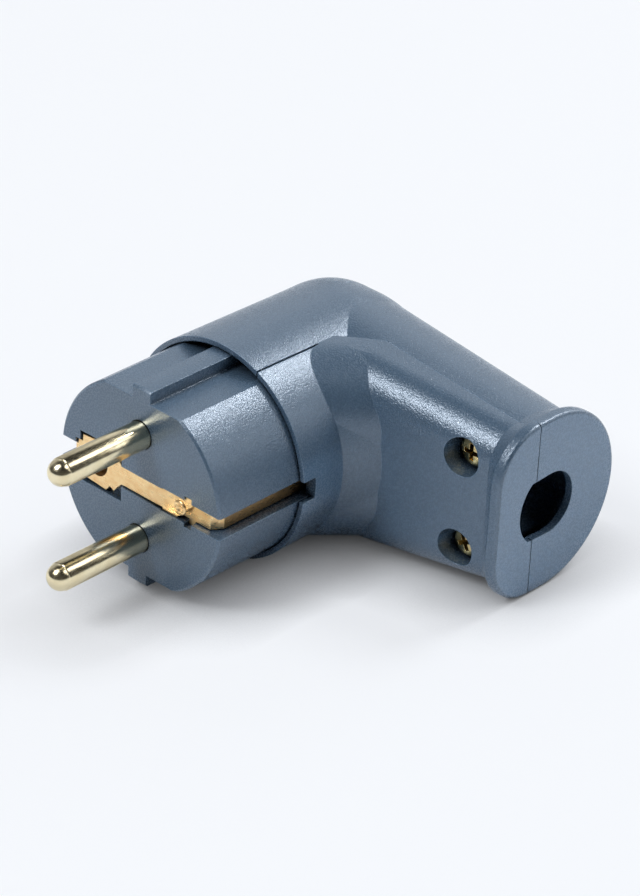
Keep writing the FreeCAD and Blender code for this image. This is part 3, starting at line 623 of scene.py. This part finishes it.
@dataclass
class ContactPins:
    """Turned brass pins with domed tips, a shoulder in the core and a terminal behind it."""

    upper: str = "live_pin"
    lower: str = "neutral_pin"
    spacing: float = 19.0
    radius: float = 2.4
    length: float = 19.0
    dome: float = 2.2
    edge: float = 0.12
    neck_radius: float = 2.1
    neck_end: float = 1.15
    shank_radius: float = 2.9
    flange_radius: float = 4.4
    flange_start: float = 22.8
    flange_end: float = 25.0
    tail_radius: float = 3.7
    tail_end: float = 34.2
    wire_level: float = 29.7
    wire_radius: float = 1.6
    thread_radius: float = 1.55
    chamfer: float = 0.15
    dome_steps: int = 12
    dome_turn_deg: float = 88.0
    edge_shares: Span = (0.4, 0.7)
    root_step: float = 0.02
    overrun: float = 1.0

    def stations(self) -> list[Station]:
        """List the levels and radii from the tip backwards.

        Returns:
            Stations for the lathe.
        """
        shoulder = self.dome - self.length
        knee = self.radius - self.edge
        along, out = self.edge_shares
        steps = []
        for i in range(self.dome_steps):
            turn = math.radians(self.dome_turn_deg * (1 - i / self.dome_steps))
            steps.append((shoulder - self.dome * math.sin(turn), knee * math.cos(turn)))
        steps += [
            (shoulder, knee),
            (shoulder + self.edge * along, knee + self.edge * out),
            (shoulder + self.edge, self.radius),
            (-self.edge, self.radius),
            (-self.root_step, self.radius - self.edge),
            (0.0, self.neck_radius),
            (self.neck_end, self.neck_radius),
            (self.neck_end, self.shank_radius - self.chamfer),
            (self.neck_end + self.chamfer, self.shank_radius),
            (self.flange_start, self.shank_radius),
            (self.flange_start, self.flange_radius - self.chamfer),
            (self.flange_start + self.chamfer, self.flange_radius),
            (self.flange_end - self.chamfer, self.flange_radius),
            (self.flange_end, self.flange_radius - self.chamfer),
            (self.flange_end, self.tail_radius),
            (self.tail_end - 2 * self.chamfer, self.tail_radius),
            (self.tail_end, self.tail_radius - 2 * self.chamfer),
        ]
        return steps

    def build(self, brass: bpy.types.Material) -> None:
        """Turn a pin, bore its terminal, and put it and its copy in the core.

        Args:
            brass: finish of the pins.
        """
        lathe = Lathe(0.0, self.spacing / 2)
        pin = lathe.turn(self.upper + "_turned", self.stations())
        lathe.cross_drill(pin, self.wire_radius, self.wire_level, 4 * self.tail_radius)
        lathe.drill(pin, self.thread_radius, self.wire_level, self.tail_end + self.overrun)
        lathe.smooth(pin)
        axis = Lathe(0.0, -self.spacing / 2).at(0.0)
        other = twin(pin, self.lower + "_turned", self.spacing, 180.0, axis)
        install(pin, self.upper, brass)
        install(other, self.lower, brass)


@dataclass
class StampedRivet:
    """Rivet through the two earth strips, with a dimple that the punch left in its head."""

    x_mm: float = 8.8
    top: float = 0.35
    crown: float = 0.05
    head_radius: float = 1.3
    shank_radius: float = 0.9
    shank_end: float = 1.95
    tail_end: float = 2.45
    rim: float = 0.06
    tail_chamfer: float = 0.15
    tail_share: float = 0.8
    ring: Sequence[Station] = (
        (0.80, 0.04), (0.62, 0.22), (0.26, 0.36), (0.04, 0.50),
        (0.0, 0.62), (0.06, 0.76), (0.35, 0.92),
    )

    def stations(self) -> list[Station]:
        """List the levels and radii from the dimple backwards.

        Returns:
            Stations for the lathe.
        """
        rise = self.top - self.crown
        steps = [(self.crown + rise * down, self.head_radius * out) for down, out in self.ring]
        steps += [
            (self.top - self.rim, self.head_radius),
            (self.top, self.head_radius),
            (self.top, self.shank_radius),
            (self.shank_end, self.shank_radius),
            (self.shank_end, self.head_radius),
            (self.tail_end - self.tail_chamfer, self.head_radius),
            (self.tail_end, self.head_radius * self.tail_share),
        ]
        return steps

    def build(self, brass: bpy.types.Material) -> None:
        """Turn the rivet and set it.

        Args:
            brass: finish of the rivet.
        """
        lathe = Lathe(self.x_mm, 0.0, sides=40, crease_deg=50.0)
        rivet = lathe.turn("earth_rivet_set", self.stations())
        install(rivet, "earth_rivet", brass)


@dataclass
class ContactCore:
    """The round core with its pins and earth strips."""

    strips: Sequence[str] = ("earth_strip_left", "earth_strip_right", "earth_socket_sleeve")

    def build(self) -> None:
        """Dress the core and make what it carries."""
        dress("contact_carrier", CORE_GREY.material())
        ContactPins().build(PIN_BRASS.material())
        strip = STRIP_BRASS.material()
        for name in self.strips:
            dress(name, strip)
        StampedRivet().build(strip)


@dataclass
class HousingScrews:
    """Brass pan-head screws with a cross recess, one above the other."""

    upper: str = "housing_screw_upper"
    lower: str = "housing_screw_lower"
    z_mm: float = 8.3
    x_mm: float = 37.2
    lower_turn_deg: float = 27.0
    seat: float = 38.2
    height: float = 2.2
    head_radius: float = 2.75
    shank_radius: float = 1.55
    shank_end: float = 47.5
    recess_reach: float = 1.65
    recess_half: float = 0.42
    recess_depth: float = 1.5
    recess_taper: float = 0.55
    rim: float = 0.12
    point: float = 0.5
    overrun: float = 0.3
    dome: Sequence[Station] = (
        (0.0, 0.03), (0.004, 0.30), (0.03, 0.55), (0.09, 0.73),
        (0.19, 0.87), (0.33, 0.96), (0.48, 1.0),
    )

    def stations(self) -> list[Station]:
        """List the levels and radii from the crown backwards.

        Returns:
            Stations for the lathe.
        """
        crown = self.seat - self.height
        steps = [(crown + self.height * down, self.head_radius * out) for down, out in self.dome]
        steps += [
            (self.seat - self.rim, self.head_radius),
            (self.seat, self.head_radius - self.rim),
            (self.seat, self.shank_radius),
            (self.shank_end - self.point, self.shank_radius),
            (self.shank_end, self.shank_radius - self.point),
        ]
        return steps

    def blade(self, across: bool) -> bpy.types.Object:
        """Shape one wing of the driver that stamps the recess, narrower at its end.

        Args:
            across: whether the wing lies along X and not along Z.

        Returns:
            The wing.
        """
        bpy.ops.object.select_all(action="DESELECT")
        crown = self.seat - self.height
        start = crown - self.overrun
        end = crown + self.recess_depth
        middle = Vector((self.x_mm, (start + end) / 2, self.z_mm)) * MM
        bpy.ops.mesh.primitive_cube_add(size=1.0, location=middle)
        wing = bpy.context.object
        spans = (2 * self.recess_reach, end - start, 2 * self.recess_half)
        if not across:
            spans = spans[::-1]
        wing.scale = Vector(spans) * MM
        bpy.ops.object.transform_apply(location=True, rotation=True, scale=True)
        bpy.ops.object.mode_set(mode="EDIT")
        bpy.ops.mesh.select_mode(type="FACE")
        bpy.ops.mesh.select_all(action="DESELECT")
        bpy.ops.object.mode_set(mode="OBJECT")
        for face in wing.data.polygons:
            face.select = face.normal.y > ALONG_COSINE
        bpy.ops.object.mode_set(mode="EDIT")
        tip = Vector((self.x_mm, end, self.z_mm)) * MM
        taper = self.recess_taper
        bpy.ops.transform.resize(value=(taper, 1.0, taper), center_override=tip)
        bpy.ops.object.mode_set(mode="OBJECT")
        return wing

    def build(self, brass: bpy.types.Material) -> None:
        """Turn a screw, stamp its recess, and drive it and its copy into the arm.

        Args:
            brass: finish of the screws.
        """
        lathe = Lathe(self.x_mm, self.z_mm, sides=56)
        screw = lathe.turn(self.upper + "_turned", self.stations())
        for across in (True, False):
            carve(screw, self.blade(across))
        lathe.smooth(screw)
        axis = Lathe(self.x_mm, -self.z_mm).at(0.0)
        other = twin(screw, self.lower + "_turned", 2 * self.z_mm, self.lower_turn_deg, axis)
        install(screw, self.upper, brass)
        install(other, self.lower, brass)


@dataclass
class InnerWorks:
    """Terminals, clamps and screws inside the housing, and the screws that close it."""

    brass: Sequence[str] = ("housing_insert_upper", "housing_insert_lower", "earth_terminal")
    moulded: Sequence[str] = ("pin_retainer", "cord_clamp")
    plated: Sequence[str] = (
        "cord_clamp_screw_upper", "cord_clamp_screw_lower", "live_terminal_screw",
        "neutral_terminal_screw", "earth_terminal_screw", "pin_retainer_screw",
    )

    def build(self) -> None:
        """Make the housing screws and dress the inner pieces."""
        HousingScrews().build(SCREW_BRASS.material())
        groups = ((self.brass, TERMINAL_BRASS), (self.moulded, IVORY), (self.plated, ZINC))
        for names, finish in groups:
            material = finish.material()
            for name in names:
                dress(name, material)


def outward(azimuth_deg: float, elevation_deg: float) -> Vector:
    """Find the way from the plug to a place round it.

    Args:
        azimuth_deg: angle round the plug, from the pins' side towards the flange's.
        elevation_deg: angle above the middle plane.

    Returns:
        The unit vector to that place.
    """
    a = math.radians(azimuth_deg)
    e = math.radians(elevation_deg)
    return Vector((math.sin(a) * math.cos(e), -math.cos(a) * math.cos(e), math.sin(e)))


@dataclass(frozen=True)
class Softbox:
    """Square soft light, whose strength is the brightness of a white face that looks at it."""

    name: str
    azimuth_deg: float
    elevation_deg: float
    side: float
    strength: float
    colour: Colour = (0.97, 0.985, 1.0)

    def hang(self, middle: Vector, distance: float) -> None:
        """Hang the light.

        Args:
            middle: point that it looks at, in metres.
            distance: distance from that point, in metres.
        """
        data = bpy.data.lights.new(self.name, "AREA")
        data.shape = "SQUARE"
        data.size = self.side
        data.energy = self.strength * (math.pi * distance) ** 2
        data.color = self.colour
        light = bpy.data.objects.new(self.name, data)
        bpy.context.scene.collection.objects.link(light)
        way = outward(self.azimuth_deg, self.elevation_deg)
        turn = (-way).to_track_quat("-Z", "Y").to_matrix().to_4x4()
        light.matrix_world = Matrix.Translation(middle + way * distance) @ turn


@dataclass
class Studio:
    """Floor, lights and camera of the photograph."""

    azimuth_deg: float = 42.06
    elevation_deg: float = 30.64
    roll_deg: float = 2.95
    focal_px: float = 3846.4
    image_height_px: float = 896.0
    sensor_mm: float = 36.0
    view_range: Span = (0.01, 20.0)
    camera_mm: Point = (366.67, -364.46, 314.56)
    rests_mm: Sequence[Point] = (
        (-1.1, 17.7, -18.97), (-1.1, 43.6, -18.57), (46.3, 44.3, -15.7),
    )
    floor_side: float = 8.0
    paper: Colour = (0.80, 0.82, 0.85)
    paper_glow: Colour = (0.913, 0.930, 0.965)
    glow_share: float = 0.68
    glow_in_gloss: float = 0.15
    contact_mm: float = 14.0
    contact_samples: int = 6
    wall_colour: Colour = (0.95, 0.97, 1.0)
    wall_toward: Direction = (-0.6, 0.8, 0.0)
    wall_cosines: Span = (0.1, 0.6)
    front_light: float = 0.05
    back_light: float = 0.50
    wall_fade_deg: Span = (30.0, 62.0)
    ceiling_share: float = 0.05
    middle_mm: Point = (14.0, 22.0, 0.0)
    light_distance: float = 1.5
    softboxes: Sequence[Softbox] = (
        Softbox("behind", 171.3, 49.0, 0.42, 0.50),
        Softbox("front_left", -21.0, 46.0, 0.45, 0.62),
        Softbox("front_high", -20.0, 65.0, 0.6, 0.12),
        Softbox("low_behind", 180.0, 20.0, 0.6, 0.12),
        Softbox("right_high", 120.0, 55.0, 0.6, 0.14),
        Softbox("right_behind", 130.0, 26.0, 0.6, 0.10),
        Softbox("left_behind", -148.0, 30.0, 1.3, 0.10),
    )

    def build(self) -> None:
        """Set up the whole studio."""
        self.camera()
        self.floor()
        self.world()
        for softbox in self.softboxes:
            softbox.hang(Vector(self.middle_mm) * MM, self.light_distance)
        bpy.context.scene.view_settings.view_transform = "Standard"

    def camera(self) -> None:
        """Put the camera where the photograph was taken from."""
        data = bpy.data.cameras.new("photo_camera")
        data.sensor_width = self.sensor_mm
        data.lens = self.focal_px / self.image_height_px * self.sensor_mm
        data.clip_start, data.clip_end = self.view_range
        camera = bpy.data.objects.new("photo_camera", data)
        bpy.context.scene.collection.objects.link(camera)
        roll = math.radians(self.roll_deg)
        back = outward(self.azimuth_deg, self.elevation_deg)
        right = (-back).cross(Vector((0, 0, 1))).normalized()
        up = right.cross(-back)
        x_axis = math.cos(roll) * right + math.sin(roll) * up
        y_axis = math.cos(roll) * up - math.sin(roll) * right
        turn = Matrix((x_axis, y_axis, back)).transposed()
        camera.matrix_world = Matrix.Translation(Vector(self.camera_mm) * MM) @ turn.to_4x4()
        bpy.context.scene.camera = camera

    def floor(self) -> None:
        """Lay the pale floor under the three points that the plug rests on."""
        first, second, third = (Vector(point) * MM for point in self.rests_mm)
        normal = (third - first).cross(second - first).normalized()
        if normal.z < 0:
            normal = -normal
        bpy.ops.object.select_all(action="DESELECT")
        bpy.ops.mesh.primitive_plane_add(size=self.floor_side)
        floor = bpy.context.object
        floor.name = "floor"
        turn = Vector((0, 0, 1)).rotation_difference(normal).to_matrix().to_4x4()
        floor.data.transform(Matrix.Translation(normal * normal.dot(first)) @ turn)
        floor.data.materials.append(self.paper_material())

    def paper_material(self) -> bpy.types.Material:
        """Build the floor's paper, pale to the camera and in reflections, its glow darkened near
        the plug as a painted shadow.

        Returns:
            The finished material.
        """
        material = bpy.data.materials.new("paper")
        material.use_nodes = True
        tree = material.node_tree
        tree.nodes.clear()
        output = tree.nodes.new("ShaderNodeOutputMaterial")
        rays = tree.nodes.new("ShaderNodeLightPath")
        shares = {
            "Is Camera Ray": self.glow_share,
            "Is Glossy Ray": self.glow_in_gloss,
            "Is Transmission Ray": self.glow_in_gloss,
        }
        total = None
        for ray, share in shares.items():
            part = tree.nodes.new("ShaderNodeMath")
            part.operation = "MULTIPLY_ADD"
            part.inputs[1].default_value = share
            part.inputs[2].default_value = 0.0
            tree.links.new(rays.outputs[ray], part.inputs[0])
            if total is not None:
                tree.links.new(total, part.inputs[2])
            total = part.outputs[0]
        diffuse = tree.nodes.new("ShaderNodeBsdfDiffuse")
        diffuse.inputs["Color"].default_value = (*self.paper, 1)
        # painted shadow: the floor's glow darkens where the plug is near
        contact = tree.nodes.new("ShaderNodeAmbientOcclusion")
        contact.samples = self.contact_samples
        contact.inputs["Distance"].default_value = self.contact_mm * MM
        contact.inputs["Color"].default_value = (*self.paper_glow, 1)
        glow = tree.nodes.new("ShaderNodeEmission")
        tree.links.new(contact.outputs["Color"], glow.inputs["Color"])
        mix = tree.nodes.new("ShaderNodeMixShader")
        tree.links.new(total, mix.inputs["Fac"])
        tree.links.new(diffuse.outputs[0], mix.inputs[1])
        tree.links.new(glow.outputs[0], mix.inputs[2])
        tree.links.new(mix.outputs[0], output.inputs["Surface"])
        return material

    def world(self) -> None:
        """Give the room a pale wall behind the plug, dim ones in front and a dark ceiling."""
        world = bpy.data.worlds.new("room")
        world.use_nodes = True
        tree = world.node_tree
        background = tree.nodes["Background"]
        background.inputs["Color"].default_value = (*self.wall_colour, 1)
        coordinates = tree.nodes.new("ShaderNodeTexCoord")
        split = tree.nodes.new("ShaderNodeSeparateXYZ")
        tree.links.new(coordinates.outputs["Generated"], split.inputs[0])
        low, high = (math.sin(math.radians(angle)) for angle in self.wall_fade_deg)
        toward = tree.nodes.new("ShaderNodeVectorMath")
        toward.operation = "DOT_PRODUCT"
        toward.inputs[1].default_value = self.wall_toward
        tree.links.new(coordinates.outputs["Generated"], toward.inputs[0])
        light = tree.nodes.new("ShaderNodeMath")
        light.operation = "MULTIPLY"
        fades = (
            (toward.outputs["Value"], (*self.wall_cosines, self.front_light, self.back_light)),
            (split.outputs["Z"], (low, high, 1.0, self.ceiling_share)),
        )
        for place, (source, values) in enumerate(fades):
            fade = tree.nodes.new("ShaderNodeMapRange")
            fade.interpolation_type = "SMOOTHSTEP"
            for key, value in zip(("From Min", "From Max", "To Min", "To Max"), values):
                fade.inputs[key].default_value = value
            tree.links.new(source, fade.inputs["Value"])
            tree.links.new(fade.outputs["Result"], light.inputs[place])
        tree.links.new(light.outputs[0], background.inputs["Strength"])
        bpy.context.scene.world = world


def main() -> None:
    """Build the plug's looks in order."""
    logging.basicConfig(level=logging.INFO, format="%(name)s: %(message)s")
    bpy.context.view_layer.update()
    for assembly in (Housing(), ContactCore(), InnerWorks(), Studio()):
        assembly.build()
        LOG.info("built %s", type(assembly).__name__)


if __name__ == "__main__":
    main()
